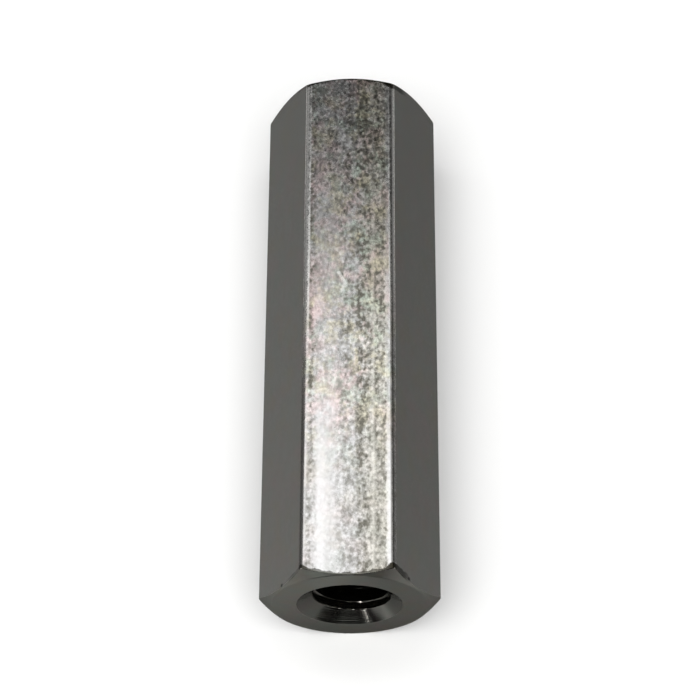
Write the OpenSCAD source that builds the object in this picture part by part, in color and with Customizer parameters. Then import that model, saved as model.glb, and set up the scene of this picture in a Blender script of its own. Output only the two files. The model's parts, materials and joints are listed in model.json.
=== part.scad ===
// Hex standoff, female to female: a length of hexagon bar with a chamfered end
// and a countersunk, blind, tapped hole at each side.
// It lies on one of its flats. The bar runs along Y, +Z is up, and the origin is
// under the middle of the bar, on the surface that it lies on.

/* [Bar] */
// Distance across the flats of the hexagon
across_flats = 5.5; // [5:0.1:8]
// Overall length from end face to end face
bar_length = 20; // [19:0.5:60]
// Radius along the six long edges, as left by drawing the bar
long_edge_radius = 0.25; // [0.1:0.05:0.5]

/* [Chamfered ends] */
// Gap between the end face's circle and the middle of each flat
end_circle_inset = 0.05; // [0.02:0.01:0.4]
// Angle between the chamfer and the end face
end_chamfer_angle = 30; // [15:5:45]

/* [Tapped holes] */
// Diameter of the drilled wall, which is the thread's minor diameter
hole_diameter = 2.6; // [1.6:0.05:3.4]
// Depth of the full diameter, measured from the end face
hole_depth = 8.5; // [3:0.25:8.5]
// Included angle of the cone that the drill leaves at the bottom
drill_point_angle = 118; // [90:2:140]
// Width of the countersink on the end face, from the hole's wall outwards
countersink_width = 0.55; // [0.1:0.05:0.8]
// Included angle of the countersink
countersink_angle = 110; // [90:5:120]

/* [Hidden] */
$fn = 96;

// Colour of the zinc-plated steel
plated_steel = [0.55, 0.56, 0.54];
// How far a cutting shape runs past the face that it cuts
overrun = 1;
// Angle between two neighbouring corners of the hexagon
corner_step = 60;

// Small angle at which an edge's radius crosses its two flats, so that they meet along clean lines
edge_crossing_angle = 5;

half_length = bar_length / 2;
flat_height = across_flats / 2;
hole_radius = hole_diameter / 2;

// Distance from the bar's axis to the hexagon's corners before they are rounded
corner_reach = flat_height / cos(corner_step / 2);
// Distance from the centre of a long edge's radius to the two flats beside it
flat_to_edge_centre = long_edge_radius * cos(edge_crossing_angle);
// Distance from the bar's axis to that centre, and to where the corner's cut begins
edge_centre = (flat_height - flat_to_edge_centre) / cos(corner_step / 2);
edge_cut_start = edge_centre + flat_to_edge_centre * cos(corner_step / 2);

// Radius of the circle where a chamfer meets its end face
end_circle_radius = flat_height - end_circle_inset;
// Length of the chamfer, carried on past the bar's edges
chamfer_reach = corner_reach + overrun;
chamfer_length = (chamfer_reach - end_circle_radius) * tan(end_chamfer_angle);

// Depth of the cone at the hole's bottom, and of the countersink at its mouth
drill_point_length = hole_radius / tan(drill_point_angle / 2);
countersink_slope = tan(countersink_angle / 2);
// Radius of the countersink's cutter where it stands clear of the end face
countersink_cutter_radius = hole_radius + countersink_width + overrun * countersink_slope;
countersink_depth = countersink_width / countersink_slope;

// What comes off the sharp corner on +X to leave its radius
module corner_cut() {
    difference() {
        translate([edge_cut_start, -2 * long_edge_radius])
            square([corner_reach - edge_cut_start + overrun, 4 * long_edge_radius]);
        translate([edge_centre, 0])
            circle(r = long_edge_radius);
    }
}

// The bar's section, with two of its flats level
module bar_section() {
    difference() {
        circle(r = corner_reach, $fn = 6);
        for (corner = [0 : corner_step : 360 - corner_step])
            rotate(corner)
                corner_cut();
    }
}

// Turned shape that both chamfers are cut to, on the bar's axis
module chamfered_envelope() {
    rotate_extrude()
        polygon([
            [0, -half_length],
            [end_circle_radius, -half_length],
            [chamfer_reach, chamfer_length - half_length],
            [chamfer_reach, half_length - chamfer_length],
            [end_circle_radius, half_length],
            [0, half_length]
        ]);
}

// Cutter for one hole, on the bar's axis, with the end face at its top
module hole_cutter() {
    rotate_extrude()
        polygon([
            [0, -hole_depth - drill_point_length],
            [hole_radius, -hole_depth],
            [hole_radius, -countersink_depth],
            [countersink_cutter_radius, overrun],
            [0, overrun]
        ]);
}

// The whole piece, on end, with its middle at the origin
module upright_standoff() {
    difference() {
        intersection() {
            linear_extrude(bar_length, center = true)
                bar_section();
            chamfered_envelope();
        }
        for (turn = [0, 180])
            rotate([turn, 0, 0])
                translate([0, 0, half_length])
                    hole_cutter();
    }
}

module hex_standoff() {
    color(plated_steel)
        translate([0, 0, flat_height])
            rotate([90, 0, 0])
                upright_standoff();
}

hex_standoff();
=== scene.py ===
"""Finished look of a hex standoff: one plated steel bar with a tapped hole in each end.

Everything is in metres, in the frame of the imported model: the bar lies on a flat along Y, +Z is up,
and the origin is under its middle. The end with negative Y is called the near end.
"""

import json
import math

import bpy
from mathutils import Matrix, Vector


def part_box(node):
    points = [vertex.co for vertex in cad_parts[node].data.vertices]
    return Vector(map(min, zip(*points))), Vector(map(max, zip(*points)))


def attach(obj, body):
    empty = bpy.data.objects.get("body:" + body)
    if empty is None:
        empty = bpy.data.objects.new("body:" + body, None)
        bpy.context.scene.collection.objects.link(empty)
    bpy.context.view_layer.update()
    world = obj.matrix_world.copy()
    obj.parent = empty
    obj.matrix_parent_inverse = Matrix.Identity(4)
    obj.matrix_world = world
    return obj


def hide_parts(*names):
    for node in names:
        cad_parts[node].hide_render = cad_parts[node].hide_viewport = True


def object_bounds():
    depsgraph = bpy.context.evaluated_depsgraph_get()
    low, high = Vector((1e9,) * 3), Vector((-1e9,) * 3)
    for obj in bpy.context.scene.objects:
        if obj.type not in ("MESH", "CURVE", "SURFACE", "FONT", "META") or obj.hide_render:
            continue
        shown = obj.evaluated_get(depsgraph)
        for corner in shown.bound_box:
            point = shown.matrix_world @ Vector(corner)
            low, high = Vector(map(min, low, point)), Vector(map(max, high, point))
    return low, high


MM = 0.001
TURN = 2 * math.pi

# The bar's long edges, as the drawing die left them
LONG_EDGE_RADIUS = 0.25 * MM
# How far the middle of a flat stands out past its two sides
FLAT_CROWN = 0.006 * MM
# Small break that tumbling left on every turned edge, and the softer one round the end face
EDGE_BREAK = 0.02 * MM
END_CIRCLE_BREAK = 0.04 * MM

# Turned ends: the gap between the end face's circle and the flats, and the chamfer's angle
END_CIRCLE_INSET = 0.05 * MM
CHAMFER_ANGLE = math.radians(30)
# Countersink: its width on the end face, and half of its included angle
COUNTERSINK_WIDTH = 0.55 * MM
COUNTERSINK_HALF_ANGLE = math.radians(55)

# Metric coarse thread M3: major radius, pitch, and how much of the root is flat
THREAD_ROOT_RADIUS = 1.5 * MM
THREAD_PITCH = 0.5 * MM
ROOT_FLAT_SHARE = 1 / 8
FLANK_ANGLE = math.radians(30)
# Depth of the last turn, and the stretch over which the tap's taper thins it out
THREAD_DEPTH = 8.0 * MM
THREAD_RUN_OUT = 1.0 * MM
# Depth of one crest below the end face, at the bottom of the hole as it lies
CREST_DEPTH = 0.76 * MM
# Half of the drill point's included angle
DRILL_POINT_HALF_ANGLE = math.radians(59)

# How finely each stretch is divided
COLUMNS_PER_SIDE = 22
FLAT_COLUMN_SHARE = 0.62
ROWS_PER_TURN = 8
MOUTH_ROWS_PER_TURN = 40
MOUTH_DEPTH = 0.6 * MM
DRILL_POINT_ROWS = 6
PLAIN_WALL_ROWS = 2
MOUTH_EDGE_ROWS = 3
END_FACE_ROWS = 3
CHAMFER_ROWS = 4
BAR_SIDE_ROWS = 4
WELD_DISTANCE = 0.0002 * MM
# Most of the chamfer's width that the soft edge of the end face may take where it is thin
THIN_CHAMFER_SHARE = 0.45


class Wire:
    """A node's output that Python's operators do arithmetic on, one Math node for each."""

    def __init__(self, nodes, socket):
        self.nodes = nodes
        self.socket = socket

    def math(self, operation, *values):
        return self.nodes.add("ShaderNodeMath", {"operation": operation}, *values)

    def __add__(self, other):
        return self.math("ADD", self, other)

    def __radd__(self, other):
        return self.math("ADD", other, self)

    def __sub__(self, other):
        return self.math("SUBTRACT", self, other)

    def __rsub__(self, other):
        return self.math("SUBTRACT", other, self)

    def __mul__(self, other):
        return self.math("MULTIPLY", self, other)

    def __rmul__(self, other):
        return self.math("MULTIPLY", other, self)

    def __truediv__(self, other):
        return self.math("DIVIDE", self, other)

    def __rtruediv__(self, other):
        return self.math("DIVIDE", other, self)

    def __abs__(self):
        return self.math("ABSOLUTE", self)

    def sin(self):
        return self.math("SINE", self)

    def cos(self):
        return self.math("COSINE", self)

    def tan(self):
        return self.math("TANGENT", self)

    def root(self):
        return self.math("SQRT", self)

    def sign(self):
        return self.math("SIGN", self)

    def floor(self):
        return self.math("FLOOR", self)

    def ceil(self):
        return self.math("CEIL", self)

    def fraction(self):
        return self.math("FRACT", self)

    def at_least(self, low):
        return self.math("MAXIMUM", self, low)

    def at_most(self, high):
        return self.math("MINIMUM", self, high)

    def between(self, low, high):
        return self.at_least(low).at_most(high)

    def ramp(self, low, high):
        """0 at low, 1 at high, straight in between and held beyond."""
        return ((self - low) / (high - low)).between(0, 1)

    def step(self, low, high):
        """0 at low, 1 at high, and smooth in between."""
        t = self.ramp(low, high)
        return t * t * (3 - 2 * t)


class Nodes:
    """Adds nodes to one tree, links them, and hands back their outputs as wires."""

    def __init__(self, tree):
        self.tree = tree

    def add(self, kind, settings=None, *values, output=0, **named):
        """A node of that kind: its settings first, then its sockets, in order or by name."""
        node = self.tree.nodes.new(kind)
        for name, value in (settings or {}).items():
            if name == "stops":
                self.set_stops(node.color_ramp, value)
            else:
                setattr(node, name, value)
        sockets = [s for s in node.inputs if s.enabled]
        for socket, value in zip(sockets, values):
            self.feed(socket, value)
        for name, value in named.items():
            wanted = name.replace("_", " ")
            self.feed(next(s for s in sockets if s.name == wanted), value)
        return self.wire(node, output)

    def set_stops(self, ramp, stops):
        """Gives a ramp its stops, each a place from 0 to 1 and a grey level."""
        while len(ramp.elements) < len(stops):
            ramp.elements.new(0.5)
        for index, (place, level) in enumerate(stops):
            ramp.elements[index].position = place
            ramp.elements[index].color = (level, level, level, 1.0)

    def feed(self, socket, value):
        if isinstance(value, Wire):
            self.tree.links.new(value.socket, socket)
        else:
            socket.default_value = value

    def wire(self, node, output=0):
        if isinstance(output, str):
            return Wire(self, node.outputs[output])
        enabled = [s for s in node.outputs if s.enabled]
        return Wire(self, enabled[output])

    def vector(self, x, y, z):
        return self.add("ShaderNodeCombineXYZ", None, x, y, z)

    def parts(self, vector):
        node = self.tree.nodes.new("ShaderNodeSeparateXYZ")
        self.feed(node.inputs[0], vector)
        return [Wire(self, s) for s in node.outputs]


def circle_point(angle, radius, depth):
    """A point on a circle round the bar's axis, as (across, depth below the end face, height)."""
    return (radius * angle.cos(), depth, radius * angle.sin())


def blend(start, end, share):
    """The point that lies that share of the way from one point to another."""
    return tuple(a + (b - a) * share for a, b in zip(start, end))


def rounded(start, corner, end, share):
    """The point that lies that share along the curve that rounds off a corner."""
    return blend(blend(start, corner, share), blend(corner, end, share), share)


class StandoffForm:
    """The geometry tree of the standoff's steel, from the tip of one drilled hole to the other's.

    It is a chain of strips. Each is a grid whose columns go round the axis and whose rows run
    from the drilled tip, out through the hole's mouth, and over the end to the bar's middle.
    """

    SIZES = (
        "Across flats",
        "Bar length",
        "Long edge radius",
        "Flat crown",
        "Edge break",
        "End circle break",
        "End circle radius",
        "Chamfer angle",
        "Countersink radius",
        "Countersink half angle",
        "Crest radius",
        "Root radius",
        "Pitch",
        "Root flat share",
        "Flank angle",
        "Crest depth",
        "Thread depth",
        "Run out",
        "Hole depth",
        "Drill point half angle",
    )

    def __init__(self, finishes):
        self.tree = bpy.data.node_groups.new("standoff_form", "GeometryNodeTree")
        self.nodes = Nodes(self.tree)
        self.finishes = finishes
        interface = self.tree.interface
        self.identifiers = {}
        for name in self.SIZES:
            item = interface.new_socket(name, in_out="INPUT", socket_type="NodeSocketFloat")
            self.identifiers[name] = item.identifier
        interface.new_socket("Geometry", in_out="OUTPUT", socket_type="NodeSocketGeometry")
        entry = self.tree.nodes.new("NodeGroupInput")
        self.size = {name: self.nodes.wire(entry, name) for name in self.SIZES}
        leave = self.tree.nodes.new("NodeGroupOutput")
        self.nodes.feed(leave.inputs[0], self.whole())

    def strip(self, rows, place, finish):
        """A grid bent round the axis: place(round, along) gives a point for shares from 0 to 1."""
        nodes = self.nodes
        columns = 6 * COLUMNS_PER_SIDE
        grid = nodes.add(
            "GeometryNodeMeshGrid",
            None,
            Size_X=1.0,
            Size_Y=1.0,
            Vertices_X=columns + 1,
            Vertices_Y=rows + 1,
        )
        position = nodes.add("GeometryNodeInputPosition")
        x, y, _ = nodes.parts(position)
        across, depth, height = place(x + 0.5, y + 0.5)
        size = self.size
        point = nodes.vector(
            across,
            depth - size["Bar length"] / 2,
            height + size["Across flats"] / 2,
        )
        bent = nodes.add("GeometryNodeSetPosition", None, Geometry=grid, Position=point)
        return nodes.add(
            "GeometryNodeSetMaterial", None, Geometry=bent, Material=self.finishes[finish]
        )

    def outer_point(self, share_round):
        """The point on the bar's section, and how far it lies from the axis."""
        size = self.size
        side = (share_round * 6).floor()
        along_side = (share_round * 6).fraction() - 0.5
        half_share = FLAT_COLUMN_SHARE / 2
        edge_radius = size["Long edge radius"]
        # The crown counts here, so that two neighbouring sides meet at one point
        edge_centre_out = size["Across flats"] / 2 - size["Flat crown"] - edge_radius
        half_flat = edge_centre_out * math.tan(TURN / 12)
        on_flat = (abs(along_side) / half_share).at_most(1)
        on_edge = ((abs(along_side) - half_share) / (0.5 - half_share)).between(0, 1)
        turned = on_edge * (TURN / 12)
        run = along_side.sign() * (on_flat * half_flat + edge_radius * turned.sin())
        crown = size["Flat crown"] * on_flat * on_flat
        out = size["Across flats"] / 2 - crown - edge_radius * (1 - turned.cos())
        facing = (side + 0.5) * (TURN / 6)
        across = out * facing.cos() - run * facing.sin()
        height = out * facing.sin() + run * facing.cos()
        reach = (across * across + height * height).root()
        return across, height, reach

    def thread_radius(self, share_round, depth):
        """The wall's distance from the axis in the tapped part of the hole, countersink included."""
        size = self.size
        pitch = size["Pitch"]
        groove = size["Root radius"] - size["Crest radius"]
        rise = size["Flank angle"].tan()
        turns = (depth - size["Crest depth"]) / pitch + share_round + 1 / 4
        from_root = abs(turns.fraction() - 0.5) * pitch
        to_crest = pitch * size["Root flat share"] / 2 + groove * rise - from_root
        cut = (to_crest / rise).at_least(0).at_most(groove)
        fade = ((size["Thread depth"] - depth) / size["Run out"]).between(0, 1)
        threaded = size["Crest radius"] + cut * fade
        flare = size["Countersink radius"] - depth * size["Countersink half angle"].tan()
        return threaded.at_least(flare)

    def tapped_strip(self, from_depth, to_depth, rows_per_turn):
        """Rows that follow the thread's helix, clamped between two depths, deepest first."""
        size = self.size
        pitch = size["Pitch"]
        step = pitch / rows_per_turn
        # A row lies on each side of the root's flat, so that the groove keeps its crisp edges
        row_line = size["Crest depth"] - pitch / 4 + pitch / 16
        whole_turns = ((from_depth + pitch - row_line) / pitch).ceil()
        deepest = row_line + whole_turns * pitch
        rows = ((deepest - to_depth) / step).ceil()

        def place(round_share, along):
            depth = deepest - pitch * round_share - along * rows * step
            depth = depth.at_most(from_depth).at_least(to_depth)
            radius = self.thread_radius(round_share, depth)
            return circle_point(round_share * TURN, radius, depth)

        return self.strip(rows, place, "thread")

    def half(self):
        """The near half of the piece, as a list of strips."""
        size = self.size
        edge_break = size["Edge break"]
        crest = size["Crest radius"]
        hole_depth = size["Hole depth"]
        tip_depth = hole_depth + crest / size["Drill point half angle"].tan()
        mouth = size["Countersink radius"]
        flare_in = size["Countersink half angle"].sin() * edge_break
        flare_down = size["Countersink half angle"].cos() * edge_break
        end_circle = size["End circle radius"]
        chamfer = size["Chamfer angle"]
        middle = size["Bar length"] / 2

        def drill_point(round_share, along):
            depth = tip_depth + (hole_depth - tip_depth) * along
            return circle_point(round_share * TURN, crest * along, depth)

        def plain_wall(round_share, along):
            depth = hole_depth + (size["Thread depth"] - hole_depth) * along
            return circle_point(round_share * TURN, crest, depth)

        def mouth_edge(round_share, along):
            angle = round_share * TURN
            start = circle_point(angle, mouth - flare_in, flare_down)
            corner = circle_point(angle, mouth, 0)
            end = circle_point(angle, mouth + edge_break, 0)
            return rounded(start, corner, end, along)

        def end_point(round_share, radius, depth):
            across, height, reach = self.outer_point(round_share)
            return (radius * across / reach, depth, radius * height / reach)

        def end_break(round_share):
            """How far the end circle's soft edge runs to each side, less where the chamfer is thin."""
            _, _, reach = self.outer_point(round_share)
            return size["End circle break"].at_most((reach - end_circle) * THIN_CHAMFER_SHARE)

        def end_face(round_share, along):
            start = circle_point(round_share * TURN, mouth + edge_break, 0)
            end = end_point(round_share, end_circle - end_break(round_share), 0)
            return blend(start, end, along)

        def on_chamfer(round_share, radius):
            return end_point(round_share, radius, (radius - end_circle) * chamfer.tan())

        def end_edge(round_share, along):
            soft = end_break(round_share)
            start = end_point(round_share, end_circle - soft, 0)
            corner = end_point(round_share, end_circle, 0)
            end = on_chamfer(round_share, end_circle + soft * chamfer.cos())
            return rounded(start, corner, end, along)

        def chamfer_face(round_share, along):
            _, _, reach = self.outer_point(round_share)
            start = on_chamfer(round_share, end_circle + end_break(round_share) * chamfer.cos())
            end = on_chamfer(round_share, reach - edge_break * chamfer.cos())
            return blend(start, end, along)

        def flat_start(round_share, past):
            across, height, reach = self.outer_point(round_share)
            return (across, (reach - end_circle) * chamfer.tan() + past, height)

        def chamfer_edge(round_share, along):
            _, _, reach = self.outer_point(round_share)
            start = on_chamfer(round_share, reach - edge_break * chamfer.cos())
            corner = flat_start(round_share, 0)
            end = flat_start(round_share, edge_break)
            return rounded(start, corner, end, along)

        def bar_side(round_share, along):
            across, height, _ = self.outer_point(round_share)
            start = flat_start(round_share, edge_break)
            return blend(start, (across, middle, height), along)

        return [
            self.strip(DRILL_POINT_ROWS, drill_point, "thread"),
            self.strip(PLAIN_WALL_ROWS, plain_wall, "thread"),
            self.tapped_strip(size["Thread depth"], MOUTH_DEPTH, ROWS_PER_TURN),
            self.tapped_strip(MOUTH_DEPTH, flare_down, MOUTH_ROWS_PER_TURN),
            self.strip(MOUTH_EDGE_ROWS, mouth_edge, "turned"),
            self.strip(END_FACE_ROWS, end_face, "turned"),
            self.strip(CHAMFER_ROWS, end_edge, "turned"),
            self.strip(CHAMFER_ROWS, chamfer_face, "turned"),
            self.strip(CHAMFER_ROWS, chamfer_edge, "turned"),
            self.strip(BAR_SIDE_ROWS, bar_side, "drawn"),
        ]

    def whole(self):
        """Both halves welded into one closed skin. The far one is the near one turned about Z."""
        nodes = self.nodes
        joined = self.tree.nodes.new("GeometryNodeJoinGeometry")
        for part in reversed(self.half()):
            self.tree.links.new(part.socket, joined.inputs[0])
        near = nodes.wire(joined)
        far = nodes.add(
            "GeometryNodeTransform", None, Geometry=near, Rotation=(0, 0, math.pi)
        )
        both = self.tree.nodes.new("GeometryNodeJoinGeometry")
        for part in (far, near):
            self.tree.links.new(part.socket, both.inputs[0])
        welded = nodes.add(
            "GeometryNodeMergeByDistance",
            None,
            Geometry=nodes.wire(both),
            Distance=WELD_DISTANCE,
        )
        outward = nodes.add("GeometryNodeFlipFaces", None, Mesh=welded)
        return nodes.add("GeometryNodeRealizeInstances", None, Geometry=outward)


def bar_coordinates(nodes, axis_height):
    """The surface point in millimetres, measured from the bar's axis and its middle."""
    place = nodes.add("ShaderNodeTexCoord", None, output="Object")
    across, along, height = nodes.parts(place)
    return across / MM, along / MM, (height - axis_height) / MM


def noise(nodes, point, scales, detail, rough, offset=0.0):
    """Soft noise from 0 to 1. Its scales are grains to the millimetre across, along and up."""
    across, along, height = point
    across_scale, along_scale, height_scale = scales
    vector = nodes.vector(
        across * across_scale + offset,
        along * along_scale + offset,
        height * height_scale - offset,
    )
    return nodes.add(
        "ShaderNodeTexNoise",
        {"noise_dimensions": "3D"},
        Vector=vector,
        Scale=1.0,
        Detail=detail,
        Roughness=rough,
    )


def tint(nodes, colour, other, share):
    """A colour that goes over to another by that share."""
    return nodes.add(
        "ShaderNodeMix",
        {"data_type": "RGBA"},
        Factor=share,
        A=colour,
        B=other,
    )


def bump(nodes, height, depth):
    """A normal tilted by a height from 0 to 1 that stands for that real depth."""
    return nodes.add("ShaderNodeBump", None, Strength=1.0, Distance=depth, Height=height)


def finish(name):
    """A material with an empty tree, and the wires to fill it."""
    material = bpy.data.materials.new(name)
    material.use_nodes = True
    material.node_tree.nodes.clear()
    return material, Nodes(material.node_tree)


# Linear colour of the plating, and what its thin passivated film shifts it to in patches
PLATING = (0.418, 0.416, 0.418, 1.0)
PINK_FILM = (0.497, 0.392, 0.387, 1.0)
GREEN_FILM = (0.374, 0.440, 0.387, 1.0)
YELLOW_FILM = (0.449, 0.418, 0.308, 1.0)
# The same plating over the turned faces, a little yellower
TURNED_PLATING = (0.433, 0.440, 0.392, 1.0)
# The dull grey-black of the pickled specks on a worn flat
SPECK = (0.092, 0.088, 0.073, 1.0)
# Where something scraped the plating bright, and the colour of the lighter lines along the top flat's
# edges
BURNISHED = (0.539, 0.535, 0.519, 1.0)
# Grime on the burrs and painted shade of the rounded edge, along the edge where a flat was cut off
BURR = (0.022, 0.020, 0.015, 1.0)
# Bare steel deep in the hole, where little zinc reaches, also used as painted shade in the hole
BARE_STEEL = (0.099, 0.103, 0.092, 1.0)

# From here on the finishes and the card measure in millimetres: across and up from the bar's axis,
# and along from its middle. A pair says where something starts and where it is in full
HALF_LENGTH = 10.0

# Noises, each as (grains to the millimetre across, along and up), detail, roughness and offset
STREAK_WANDER = ((1.1, 0.22, 1.1), 2.0, 0.5, 41.0)
GRAIN_DOTS = ((7.4, 6.0, 7.4), 1.5, 0.6)
GRAIN_CHAINS = ((7.5, 1.3, 7.5), 0.5, 0.5, 23.0)
GRAIN_CLOUDS = ((1.8, 1.2, 1.8), 2.0, 0.5, 7.0)
DRAWN_RIDGES = ((11.0, 2.2, 11.0), 1.0, 0.5, 61.0)
PICKLED_FROST = ((10.0, 8.0, 10.0), 1.0, 0.5, 71.0)
DRAWN_BURR_TEETH = ((3.0, 3.0, 3.0), 3.0, 0.65, 13.0)
TURNED_BURR_TEETH = ((5.0, 5.0, 5.0), 1.0, 0.6, 13.0)
TURNED_MARKS = ((24.0, 14.0, 1.0), 2.0, 0.6)
TURNED_GRAIN = ((7.0, 7.0, 7.0), 2.0, 0.6)
HOLE_MARKS = ((17.0, 1.0, 1.0), 2.0, 0.7)
HOLE_GRAIN = ((9.0, 9.0, 9.0), 2.0, 0.6)
FILM_DETAIL = 3.0
FILM_ROUGHNESS = 0.7
# The film's patches: colour, grains to the millimetre and offset
FILM_PATCHES = (
    (PINK_FILM, 0.5, 11.0),
    (PINK_FILM, 1.3, 3.0),
    (GREEN_FILM, 1.2, 17.0),
    (YELLOW_FILM, 1.1, 29.0),
)
# Noise levels over which a patch comes in
FILM_FADE = (0.47, 0.66)
# How strongly the film shows on the turned faces and in the hole
TURNED_FILM = 0.3
HOLE_FILM = 0.35
# Roughness of the plating on the drawn flats, on the turned faces and in the hole
DRAWN_ROUGHNESS = 0.16
TURNED_ROUGHNESS = 0.3
HOLE_ROUGHNESS = 0.11
# Weights of the three noises in the fine mottle
DOT_WEIGHT = 2.7
CHAIN_WEIGHT = 0.8
CLOUD_WEIGHT = 1.1
# How the far part's grain differs: flatter clouds, a duller mean, a floor under it, more contrast. The
# duller mean and the floor are partly grain and partly painted shade that darkens the flats' far part
FAR_CLOUD_LOSS = 0.3
FAR_DULLNESS = 0.03
FAR_LEAST_DULLNESS = 0.27
FAR_CONTRAST = 0.3
# How far the clouds lift and lower the dullness itself, and what the far part adds to that
CLOUD_DULLNESS = 0.1
FAR_CLOUD_DULLNESS = 0.25
# Real depth of the marks on the bar's outside and in the hole
OUTER_MARK_DEPTH = 0.004 * MM
HOLE_MARK_DEPTH = 0.005 * MM

# Heights at which the top and bottom flats take over from the long edges
FLAT_HEIGHTS = (2.62, 2.72)
# The same for the scrapes, which lie on the top flat alone
SCRAPED_HEIGHTS = (2.7, 2.73)
# Where the near part's clear streaks go over to the far part's even grain
FAR_PART = (-7.0, -2.0)
# The side of the top flat that is worn yellower
YELLOW_SIDE = (0.1, 0.9)
YELLOW_SIDE_END = (1.45, 1.2)
# The lighter lines along the far part of the top flat's edges
WORN_EDGE = (1.39, 1.45)
WORN_EDGE_START = (-3.0, 3.0)
# The line of painted shade outside them: its inner and outer side, and its heights
LIP_INNER = (1.45, 1.5)
LIP_OUTER = (1.64, 1.56)
LIP_HEIGHTS = (2.4, 2.5)
LIP_SHIFT = 0.03
# Reach at which the flats go over into the long edges' radius
ROUNDING = (2.738, 2.715)
# The corner on the right, where the burr's grime and painted shade run further down
RIGHT_CORNER = (1.2, 1.6)

# How dull each streak of a worn flat is, as (share of the width that it covers, dullness)
STREAKS = (
    (0.020, 0.02),
    (0.060, 0.48),
    (0.095, 0.46),
    (0.135, 0.22),
    (0.180, 0.00),
    (0.235, 0.02),
    (0.290, 0.14),
    (0.330, 0.16),
    (0.385, 0.33),
    (0.460, 0.43),
    (0.565, 0.38),
    (0.610, 0.62),
    (0.680, 0.57),
    (0.740, 0.45),
    (0.765, 0.28),
    (0.795, 0.57),
    (0.840, 0.48),
    (0.890, 0.52),
    (0.912, 0.06),
    (0.955, 0.00),
    (0.980, 0.35),
    (1.000, 0.50),
)
# Width of the stretch that those shares divide, and how far noise carries the streaks' sides
STREAKED_WIDTH = 3.2
STREAK_SWING = 0.12
STREAK_FRAY = 0.16

# Bright scrapes on the top flat: start and end, each across and along, and strength
SCRAPES = (
    ((-0.57, 2.66), (-0.33, 2.45), 0.6),
    ((-0.33, 2.45), (-0.23, 2.04), 0.7),
    ((-0.38, 1.62), (-0.14, 1.16), 1.0),
    ((-0.14, 1.16), (-0.29, 0.84), 0.7),
    ((0.39, -0.96), (0.56, -1.47), 0.5),
    ((0.56, -1.47), (0.68, -1.25), 0.5),
)
SCRAPE_HALF_WIDTH = 0.09
# Small dark dents on the near chamfer's outer edge: across, along and above the axis
NICKS = ((-2.26, -9.89, 1.58), (2.04, -9.83, 1.97))
NICK_RADIUS = 0.06


def metal(nodes, material, colour, roughness, normal):
    """Closes a plated surface's tree."""
    shader = nodes.tree.nodes.new("ShaderNodeBsdfPrincipled")
    shader.inputs["Metallic"].default_value = 1.0
    nodes.feed(shader.inputs["Base Color"], colour)
    nodes.feed(shader.inputs["Roughness"], roughness)
    nodes.feed(shader.inputs["Normal"], normal)
    leave = nodes.tree.nodes.new("ShaderNodeOutputMaterial")
    nodes.tree.links.new(shader.outputs[0], leave.inputs[0])
    return material


def scraped(across, along):
    """1 on the bright scrapes of the top flat, and 0 elsewhere."""
    mask = 0.0
    for (start_across, start_along), (end_across, end_along), strength in SCRAPES:
        run_across = end_across - start_across
        run_along = end_along - start_along
        square = run_across ** 2 + run_along ** 2
        share = ((across - start_across) * run_across + (along - start_along) * run_along) / square
        share = share.between(0, 1)
        off_across = across - start_across - share * run_across
        off_along = along - start_along - share * run_along
        off = (off_across * off_across + off_along * off_along).root()
        scrape = off.step(SCRAPE_HALF_WIDTH, SCRAPE_HALF_WIDTH * 0.2) * strength
        mask = scrape.at_least(mask)
    return mask


def nicked(point):
    """1 in the dark dents at the near chamfer's edge, and 0 elsewhere."""
    mask = 0.0
    for centre in NICKS:
        offs = [value - place for value, place in zip(point, centre)]
        off = sum((value * value for value in offs), 0.0).root()
        mask = off.step(NICK_RADIUS * 1.3, NICK_RADIUS * 0.7).at_least(mask)
    return mask


def corner_share(across):
    """1 at the top flat's two long edges, where the end's burr is coarsest, and 0 at its middle."""
    return abs(across + 0.1).step(0.9, 1.6)


def edge_grime(across, height):
    """Where the grime and painted shade go: 1 along the top flat's end, less down the first stretch of
    the edges beside it, then 0.
    """
    beside = 0.4 + across.step(*RIGHT_CORNER) * 0.35
    top = height.step(2.60, 2.74)
    first_stretch = height.step(1.8, 2.3)
    return top * (1 - beside) + first_stretch * beside


def hexagon_reach(across, height):
    """How far out a point lies towards the nearest of the six flats."""
    turned = TURN / 6
    left = abs(across * math.sin(turned) + height * math.cos(turned))
    right = abs(across * math.sin(turned) - height * math.cos(turned))
    return abs(height).at_least(left).at_least(right)


def filmed(nodes, point, plating, strength):
    """The plating's colour with its faint patches of pink, green and yellow."""
    colour = plating
    for film, scale, offset in FILM_PATCHES:
        scales = (scale, scale * 0.8, scale)
        patch = noise(nodes, point, scales, FILM_DETAIL, FILM_ROUGHNESS, offset)
        colour = tint(nodes, colour, film, patch.step(*FILM_FADE) * strength)
    return colour


def from_axis(across, height):
    """How far a point lies from the bar's axis."""
    return (across * across + height * height).root()


def drawn_grain(nodes, point, faced, far_share):
    """How dull the pickled streaks are at each place, and the fine mottle that breaks them up."""
    across, _, _ = point
    wander = noise(nodes, point, *STREAK_WANDER) - 0.5
    dots = noise(nodes, point, *GRAIN_DOTS) - 0.5
    chains = noise(nodes, point, *GRAIN_CHAINS) - 0.5
    clouds = noise(nodes, point, *GRAIN_CLOUDS) - 0.5
    place = (across + wander * STREAK_SWING + dots * STREAK_FRAY) / STREAKED_WIDTH + 0.5
    streak = nodes.add("ShaderNodeValToRGB", {"stops": STREAKS}, place)
    cloud_swing = CLOUD_DULLNESS + far_share * FAR_CLOUD_DULLNESS
    # Grain and painted shade: the far part's duller mean and floor darken it
    dull = streak + far_share * FAR_DULLNESS - clouds * cloud_swing
    dull = dull.between(far_share * FAR_LEAST_DULLNESS, 1) * faced
    cloud_weight = CLOUD_WEIGHT - far_share * FAR_CLOUD_LOSS
    mottle = 0.5 - dots * DOT_WEIGHT - chains * CHAIN_WEIGHT - clouds * cloud_weight
    return dull, mottle.between(0, 1)


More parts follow.
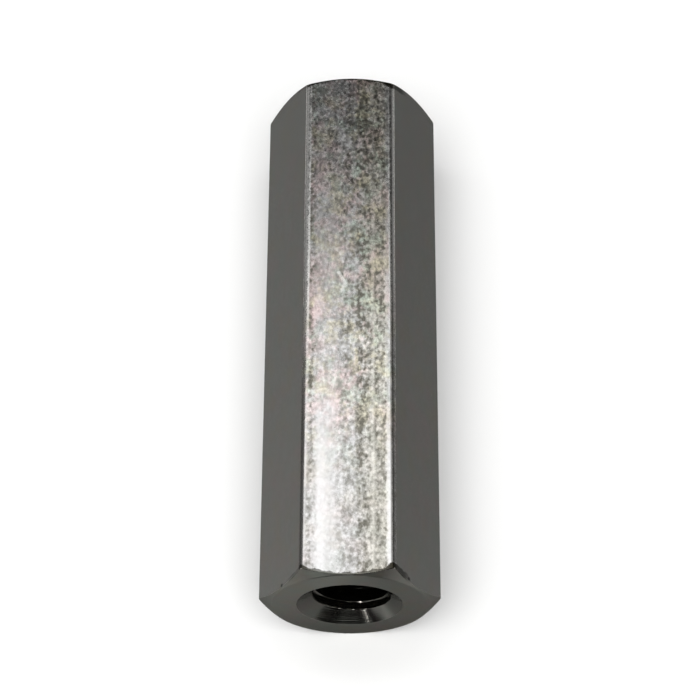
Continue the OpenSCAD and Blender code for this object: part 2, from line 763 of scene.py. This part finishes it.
def edge_lip(across, along, height):
    """A dark line of painted shade outside the top flat's edges: faint on the left, but for its near
    part.
    """
    outward = abs(across + LIP_SHIFT)
    lip = outward.step(*LIP_INNER) * outward.step(*LIP_OUTER) * height.step(*LIP_HEIGHTS)
    right = across.step(-0.5, 0.5)
    near_left = (1 - right) * along.step(-1.0, -4.5)
    return lip * (0.2 + right * 0.5 + near_left * 0.5)


def drawn_burr(nodes, point, axis_height):
    """The ragged dark edge where a chamfer cuts off the top flat and the edges beside it: grime on the
    burr and painted shade of the rounded edge.
    """
    across, along, height = point
    end_circle = (axis_height - END_CIRCLE_INSET) / MM
    chamfer_depth = (from_axis(across, height) - end_circle) * math.tan(CHAMFER_ANGLE)
    to_chamfer = HALF_LENGTH - abs(along) - chamfer_depth
    corner = corner_share(across)
    teeth = noise(nodes, point, *DRAWN_BURR_TEETH).ramp(0.4, 0.7)
    ragged = teeth * 0.1 + corner * 0.04 + across.step(*RIGHT_CORNER) * 0.1
    burr = (to_chamfer - ragged).step(0.05, 0.02) * edge_grime(across, height)
    return burr * (0.75 + corner * 0.25)


def drawn_finish(axis_height):
    """The flats and long edges: drawn bar with a fine pickled grain in streaks along it."""
    material, nodes = finish("drawn_plated_steel")
    point = bar_coordinates(nodes, axis_height)
    across, along, height = point
    faced = abs(height).step(*FLAT_HEIGHTS)
    far_share = along.step(*FAR_PART)
    dull, mottle = drawn_grain(nodes, point, faced, far_share)
    scrape = scraped(across, along) * height.step(*SCRAPED_HEIGHTS)
    scrape = (scrape * (1.4 - mottle * 0.8)).between(0, 1)
    contrast = 1.3 + far_share * FAR_CONTRAST
    speck = ((dull + 0.06) * (0.95 + (mottle - 0.5) * contrast) * (1 - scrape)).between(0, 1)
    film = (0.2 + far_share * 0.7) * (0.35 + dull * 1.2) * faced + (1 - faced) * 0.3
    plating = tint(nodes, PLATING, TURNED_PLATING, (1 - faced) * 0.6)
    colour = filmed(nodes, point, plating, film.between(0, 1))
    yellow_side = across.step(*YELLOW_SIDE) * across.step(*YELLOW_SIDE_END) * faced
    colour = tint(nodes, colour, YELLOW_FILM, yellow_side * 0.3)
    colour = tint(nodes, colour, SPECK, speck * 0.95)
    worn_edge = abs(across).step(*WORN_EDGE) * faced * along.step(*WORN_EDGE_START)
    colour = tint(nodes, colour, BURNISHED, (scrape * 0.55).at_least(worn_edge))
    # Painted shade along the long edges beside the top flat
    colour = tint(nodes, colour, BURR, edge_lip(across, along, height))
    # Grime and painted shade at the top flat's cut-off edge, and the dark nicks
    dark = drawn_burr(nodes, point, axis_height).at_least(nicked(point))
    colour = tint(nodes, colour, BURR, dark)
    ridges = noise(nodes, point, *DRAWN_RIDGES)
    normal = bump(nodes, ridges * (0.35 + faced * 0.65), OUTER_MARK_DEPTH)
    frost = noise(nodes, point, *PICKLED_FROST).ramp(0.3, 0.7)
    rounding = hexagon_reach(across, height).step(*ROUNDING)
    roughness = DRAWN_ROUGHNESS + faced * frost * (0.07 + dull * 0.2) + rounding * 0.06
    return metal(nodes, material, colour, roughness, normal)


def turned_burr(nodes, point):
    """The share of the burr's grime and painted shade on the chamfer's side of the edge where the top
    flat ends.
    """
    across, _, height = point
    teeth = noise(nodes, point, *TURNED_BURR_TEETH).ramp(0.3, 0.7) * 0.04
    corner = corner_share(across)
    burr = (hexagon_reach(across, height) + teeth * 0.3 + corner * 0.012).step(2.732, 2.745)
    return burr * edge_grime(across, height) * (0.8 + corner * 0.2)


def turned_finish(axis_height):
    """The end faces and chamfers: fine tool marks round the axis."""
    material, nodes = finish("turned_plated_steel")
    point = bar_coordinates(nodes, axis_height)
    across, along, height = point
    reach = from_axis(across, height)
    marks = noise(nodes, (reach, along, 0.0 * reach), *TURNED_MARKS)
    grain = noise(nodes, point, *TURNED_GRAIN)
    normal = bump(nodes, marks * 0.3 + grain * 0.5, OUTER_MARK_DEPTH)
    on_chamfer = (HALF_LENGTH - abs(along)).step(0.0, 0.03)
    # Painted light: the chamfer's upper part, below the top flat, is made lighter
    bright = on_chamfer * height.step(1.6, 2.4) * 0.1 + 1.0
    colour = filmed(nodes, point, TURNED_PLATING, TURNED_FILM)
    colour = nodes.add("ShaderNodeVectorMath", {"operation": "SCALE"}, colour, Scale=bright)
    # Grime and painted shade at the chamfer's side of the top flat's edge, and the dark nicks
    dark = turned_burr(nodes, point).at_least(nicked(point))
    colour = tint(nodes, colour, BURR, dark)
    roughness = TURNED_ROUGHNESS + grain * 0.1
    return metal(nodes, material, colour, roughness, normal)


def hole_finish(axis_height, crest_radius):
    """The hole: a countersink with coarse tool marks, then threads where the plating thins out and
    painted shade darkens them.
    """
    material, nodes = finish("tapped_hole_steel")
    point = bar_coordinates(nodes, axis_height)
    across, along, height = point
    reach = from_axis(across, height)
    depth = HALF_LENGTH - abs(along)
    mouth = (crest_radius + COUNTERSINK_WIDTH) / MM
    flare = mouth - depth * math.tan(COUNTERSINK_HALF_ANGLE)
    on_cone = abs(reach - flare).step(0.02, 0.008)
    marks = noise(nodes, (reach, 0.0 * reach, 0.0 * reach), *HOLE_MARKS)
    grain = noise(nodes, point, *HOLE_GRAIN)
    coarse = on_cone * (0.88 - across.step(0.1, 0.5) * 0.5)
    relief = marks * (0.12 + coarse) + grain * 0.04
    normal = bump(nodes, relief, HOLE_MARK_DEPTH)
    past_first_turn = depth.step(0.8, 1.1)
    # Partly thinning plating, partly painted shade: a little darker on the countersink, much darker
    # past the first turn
    thin = 0.22 + (1 - on_cone) * past_first_turn * 0.65
    colour = filmed(nodes, point, TURNED_PLATING, HOLE_FILM)
    colour = tint(nodes, colour, BARE_STEEL, thin)
    roughness = HOLE_ROUGHNESS + grain * 0.03
    return metal(nodes, material, colour, roughness, normal)


def make_standoff(frame):
    """The whole piece as one closed mesh, from its geometry tree."""
    low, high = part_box("hex_standoff")
    across_flats = high.z - low.z
    mounts = {mount["name"]: mount for mount in frame["record"]["mounts"]}
    crest_radius = mounts["near_thread"]["dims"]["r_mm"] * MM
    wall_length = mounts["near_thread"]["dims"]["length_mm"] * MM
    countersink_depth = COUNTERSINK_WIDTH / math.tan(COUNTERSINK_HALF_ANGLE)
    sizes = {
        "Across flats": across_flats,
        "Bar length": high.y - low.y,
        "Long edge radius": LONG_EDGE_RADIUS,
        "Flat crown": FLAT_CROWN,
        "Edge break": EDGE_BREAK,
        "End circle break": END_CIRCLE_BREAK,
        "End circle radius": across_flats / 2 - END_CIRCLE_INSET,
        "Chamfer angle": CHAMFER_ANGLE,
        "Countersink radius": crest_radius + COUNTERSINK_WIDTH,
        "Countersink half angle": COUNTERSINK_HALF_ANGLE,
        "Crest radius": crest_radius,
        "Root radius": THREAD_ROOT_RADIUS,
        "Pitch": THREAD_PITCH,
        "Root flat share": ROOT_FLAT_SHARE,
        "Flank angle": FLANK_ANGLE,
        "Crest depth": CREST_DEPTH,
        "Thread depth": THREAD_DEPTH,
        "Run out": THREAD_RUN_OUT,
        "Hole depth": wall_length + countersink_depth,
        "Drill point half angle": DRILL_POINT_HALF_ANGLE,
    }
    axis_height = across_flats / 2
    finishes = {
        "drawn": drawn_finish(axis_height),
        "turned": turned_finish(axis_height),
        "thread": hole_finish(axis_height, crest_radius),
    }
    form = StandoffForm(finishes)
    blank = bpy.data.meshes.new("blank")
    maker = bpy.data.objects.new("standoff_maker", blank)
    bpy.context.scene.collection.objects.link(maker)
    modifier = maker.modifiers.new("form", "NODES")
    modifier.node_group = form.tree
    for name, value in sizes.items():
        modifier[form.identifiers[name]] = value
    weighted = maker.modifiers.new("even_shading", "WEIGHTED_NORMAL")
    weighted.mode = "FACE_AREA_WITH_ANGLE"
    weighted.keep_sharp = True
    graph = bpy.context.evaluated_depsgraph_get()
    mesh = bpy.data.meshes.new_from_object(maker.evaluated_get(graph))
    mesh.name = "plated_standoff"
    maker.modifiers.clear()
    bpy.data.objects.remove(maker)
    piece = bpy.data.objects.new("plated_standoff", mesh)
    bpy.context.scene.collection.objects.link(piece)
    return piece


# How the photographer stood: the pinhole fitted to the bar's outline
CAMERA_ELEVATION = math.radians(62.0)
CAMERA_YAW = math.radians(2.73)
CAMERA_ROLL = math.radians(-2.83)
CAMERA_DISTANCE = 82.53 * MM
PHOTO_WIDTH = 700
FOCAL_PIXELS = 2265.2
# Pixel of the photograph at which the bar's centre lies
CENTRE_PIXEL = (350.95, 348.41)
SENSOR_WIDTH = 36.0
NEAREST_SHOWN = 1 * MM
FURTHEST_SHOWN = 10.0

# The ground: its reach from the middle, and its linear colour
FLOOR_REACH = 1.5
PALE_GROUND = (0.88, 0.88, 0.875, 1.0)

# The reflection shade card's left, right, front and back edge in millimetres, and its height
CARD_EDGES = (-60, 60, -220, 20)
CARD_HEIGHT = 0.05 * MM

# Each lamp's name, its place, the point that it faces, its width and height, and its radiance
LAMPS = (
    ("overhead", (-0.03, 0.0599, 0.16), (-0.03, 0.0599, 0), 0.216, 0.0618, 2.65),
    ("fill", (-0.01, -0.07, 0.15), (0, -0.01, 0), 0.24, 0.13, 2.95),
    ("glint", (-0.0101, -0.038, 0.0015), (0, -0.01, 0.0013), 0.0009, 0.0028, 9.0),
)
# The room's light: everywhere, on the walls, and on the ceiling round the overhead lamp
DARK_LEVEL = 0.013
WALL_LEVEL = 0.48
CEILING_LEVEL = 0.04
# The overhead lamp's direction from the bar, as shares of back and up
OVERHEAD_BACK = 0.47
OVERHEAD_UP = 0.88


def make_camera(centre):
    """The camera at the photograph's viewing angle, with no shift."""
    direction = Vector((
        math.sin(CAMERA_YAW) * math.cos(CAMERA_ELEVATION),
        -math.cos(CAMERA_YAW) * math.cos(CAMERA_ELEVATION),
        math.sin(CAMERA_ELEVATION),
    ))
    forward = -direction
    right = forward.cross(Vector((0, 0, 1))).normalized()
    up = right.cross(forward)
    off_right = CENTRE_PIXEL[0] - PHOTO_WIDTH / 2
    off_up = PHOTO_WIDTH / 2 - CENTRE_PIXEL[1]
    sight = (forward * FOCAL_PIXELS - right * off_right - up * off_up).normalized()
    level = (right - sight * sight.dot(right)).normalized()
    above = level.cross(sight)
    side = level * math.cos(CAMERA_ROLL) + above * math.sin(CAMERA_ROLL)
    top = above * math.cos(CAMERA_ROLL) - level * math.sin(CAMERA_ROLL)
    data = bpy.data.cameras.new("camera")
    data.sensor_width = SENSOR_WIDTH
    data.lens = FOCAL_PIXELS * SENSOR_WIDTH / PHOTO_WIDTH
    data.clip_start = NEAREST_SHOWN
    data.clip_end = FURTHEST_SHOWN
    camera = bpy.data.objects.new("camera", data)
    bpy.context.scene.collection.objects.link(camera)
    turn = Matrix((side, top, -sight)).transposed().to_4x4()
    camera.matrix_world = Matrix.Translation(centre + direction * CAMERA_DISTANCE) @ turn
    bpy.context.scene.camera = camera


def flat_sheet(name, left, right, front, back, level):
    """A level rectangle of the scene."""
    mesh = bpy.data.meshes.new(name)
    corners = [
        (left, front, level),
        (right, front, level),
        (right, back, level),
        (left, back, level),
    ]
    mesh.from_pydata(corners, [], [(0, 1, 2, 3)])
    sheet = bpy.data.objects.new(name, mesh)
    bpy.context.scene.collection.objects.link(sheet)
    return sheet


def matt(name):
    """A plain matt material for the scene, and the wires to colour it."""
    material, nodes = finish(name)
    shader = nodes.tree.nodes.new("ShaderNodeBsdfDiffuse")
    leave = nodes.tree.nodes.new("ShaderNodeOutputMaterial")
    nodes.tree.links.new(shader.outputs[0], leave.inputs[0])
    return material, nodes, shader.inputs["Color"]


def make_floor():
    """A plain pale ground that keeps the piece's soft shadow."""
    floor = flat_sheet("floor", -FLOOR_REACH, FLOOR_REACH, -FLOOR_REACH, FLOOR_REACH, 0.0)
    material, _, colour = matt("pale_ground")
    colour.default_value = PALE_GROUND
    floor.data.materials.append(material)


def tone_beside(x, y):
    """The card's grey beside the bar, with painted shade: a little darker on the right and towards the
    far end.
    """
    right = x.step(-3.0, 6.0)
    return (1 - y * 0.009) * (0.216 - right * 0.043)


def tone_close(x, before_end):
    """The card's grey in the first millimetres before the near end: a painted shadow, darker against
    the end.
    """
    close = 0.105 + before_end.step(-0.3, 1.8) * 0.09
    right = x.step(-1.5, 1.5)
    return close * (0.88 + before_end.step(0.4, 1.4) * (0.07 - right * 0.22))


def tone_further(before_end):
    """The card's grey further before the near end: painted shade, darker again from some way on."""
    return 0.235 - before_end.step(8.0, 13.0) * 0.118


def dark_fans(x, before_end):
    """1 on the two fans of painted shade that open away from the hole, and 0 on the strip between
    them.
    """
    right = x.step(-2.0, 2.0)
    slope = 0.56 - right * 0.18
    outer = (before_end * slope - 0.6 + right * 1.5 - abs(x)).step(-0.5, 0.5)
    strip = (before_end * 0.13 - abs(x)).step(-0.4, 0.4) * before_end.step(24.0, 18.0)
    return outer * (1 - strip) * before_end.step(2.8, 4.0)


def light_patch(x, before_end):
    """1 on the small patch of painted light before the near end, a little left of the middle."""
    aside = x + 0.75
    ahead = before_end - 2.4
    return (aside * aside + ahead * ahead).root().step(1.0, 0.3)


def make_bench_card():
    """A card on the floor that only the metal's reflections show, painted with shade and light for
    them to mirror.

    It is mid-grey beside the bar with painted shade, a painted shadow close before the near end, and
    nearly black painted shade in two fans that open away from the hole. The end face mirrors its first
    millimetres, with a small patch of painted light, and the countersink mirrors the fans.
    """
    card = flat_sheet("bench_card", *(edge * MM for edge in CARD_EDGES), CARD_HEIGHT)
    material, nodes, colour = matt("bench_card")
    place = nodes.add("ShaderNodeTexCoord", None, output="Object")
    x, y, _ = nodes.parts(place)
    x = x / MM
    y = y / MM
    before_end = -HALF_LENGTH - y
    ahead = before_end.step(2.6, 4.2)
    in_front = tone_close(x, before_end) * (1 - ahead) + ahead * tone_further(before_end)
    in_front = in_front * (1 - dark_fans(x, before_end) * 0.98)
    in_front = in_front * (1 + light_patch(x, before_end) * 0.6)
    front = before_end.step(-0.3, 0.0)
    # The card's painted shade and light, which the metal mirrors
    shade = tone_beside(x, y) * (1 - front) + in_front * front
    nodes.feed(colour, nodes.vector(shade, shade, shade))
    card.data.materials.append(material)
    card.visible_camera = False
    card.visible_diffuse = False
    card.visible_shadow = False
    card.visible_transmission = False


def soft_lamp(name, centre, target, width, height, radiance):
    """A rectangular lamp at one point that faces another. The camera doesn't show it."""
    away = (Vector(centre) - Vector(target)).normalized()
    data = bpy.data.lights.new(name, "AREA")
    data.shape = "RECTANGLE"
    data.size = width
    data.size_y = height
    data.energy = radiance * math.pi * width * height
    lamp = bpy.data.objects.new(name, data)
    bpy.context.scene.collection.objects.link(lamp)
    lamp.location = centre
    lamp.rotation_mode = "QUATERNION"
    lamp.rotation_quaternion = away.to_track_quat("Z", "Y")
    lamp.visible_camera = False


def make_light():
    """The lamps, in a grey room that is dark round the overhead lamp and before the near end."""
    for lamp in LAMPS:
        soft_lamp(*lamp)
    world = bpy.data.worlds.new("grey_room")
    bpy.context.scene.world = world
    world.use_nodes = True
    background = world.node_tree.nodes["Background"]
    background.inputs["Color"].default_value = (1.0, 1.0, 1.0, 1.0)
    nodes = Nodes(world.node_tree)
    _, back, height = nodes.parts(nodes.add("ShaderNodeTexCoord", None, output="Generated"))
    towards_overhead = back * OVERHEAD_BACK + height * OVERHEAD_UP
    above_floor = height.step(-0.05, 0.2)
    wall = above_floor * towards_overhead.step(0.93, 0.7) * back.step(-0.9, -0.6)
    ceiling = towards_overhead.step(0.7, 0.93)
    level = DARK_LEVEL + wall * WALL_LEVEL + ceiling * CEILING_LEVEL
    nodes.feed(background.inputs["Strength"], level)


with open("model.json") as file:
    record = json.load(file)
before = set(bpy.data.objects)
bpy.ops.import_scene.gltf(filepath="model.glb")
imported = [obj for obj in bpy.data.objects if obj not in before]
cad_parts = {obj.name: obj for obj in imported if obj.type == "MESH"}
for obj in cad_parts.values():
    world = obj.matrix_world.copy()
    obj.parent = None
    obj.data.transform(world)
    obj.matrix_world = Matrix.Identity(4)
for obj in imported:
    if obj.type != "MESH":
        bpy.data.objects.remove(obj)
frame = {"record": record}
cad_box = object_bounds()
standoff = make_standoff(frame)
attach(standoff, "root")
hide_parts("hex_standoff")
make_camera((cad_box[0] + cad_box[1]) / 2)
make_floor()
make_bench_card()
make_light()
bpy.context.scene.view_settings.view_transform = "Standard"
